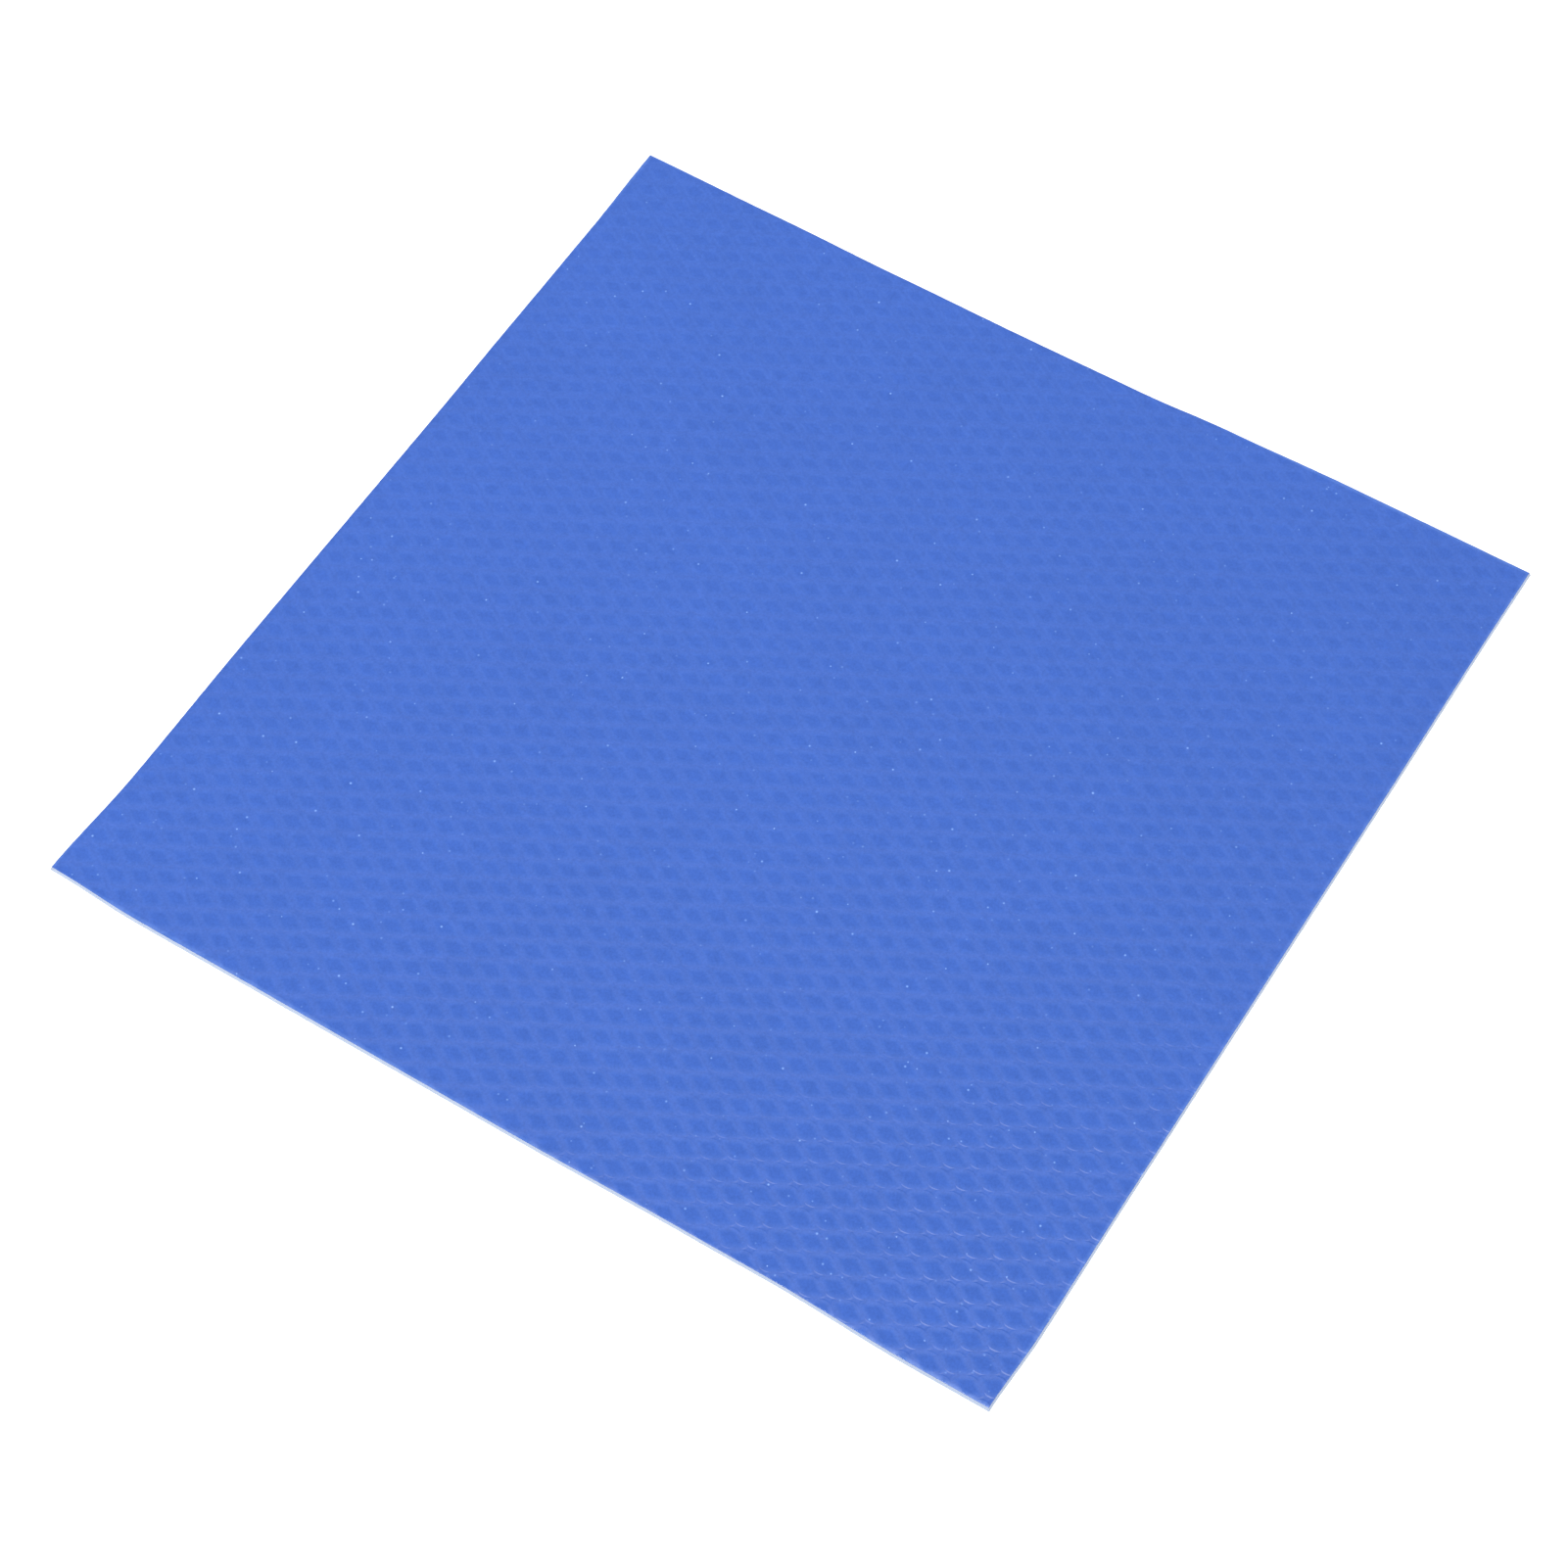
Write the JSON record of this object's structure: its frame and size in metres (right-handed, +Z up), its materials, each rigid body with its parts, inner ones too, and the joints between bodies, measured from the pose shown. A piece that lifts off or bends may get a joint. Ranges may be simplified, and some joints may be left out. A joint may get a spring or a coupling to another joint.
{
  "type": "thermal pad sheet",
  "caption": "Square thermal pad sheet of soft blue silicone with an embossed top face, laid between a hot component and its heatsink to fill the gap.",
  "frame": {"origin": "middle of the underside of the sheet", "axes": "+Z up through the thickness, with X and Y along the cut edges"},
  "size_m": [0.1, 0.1, 0.0005],
  "materials": {
    "blue_silicone": "satin"
  },
  "bodies": {
    "root": {"thermal_pad_sheet": "blue_silicone"}
  },
  "joints": []
}
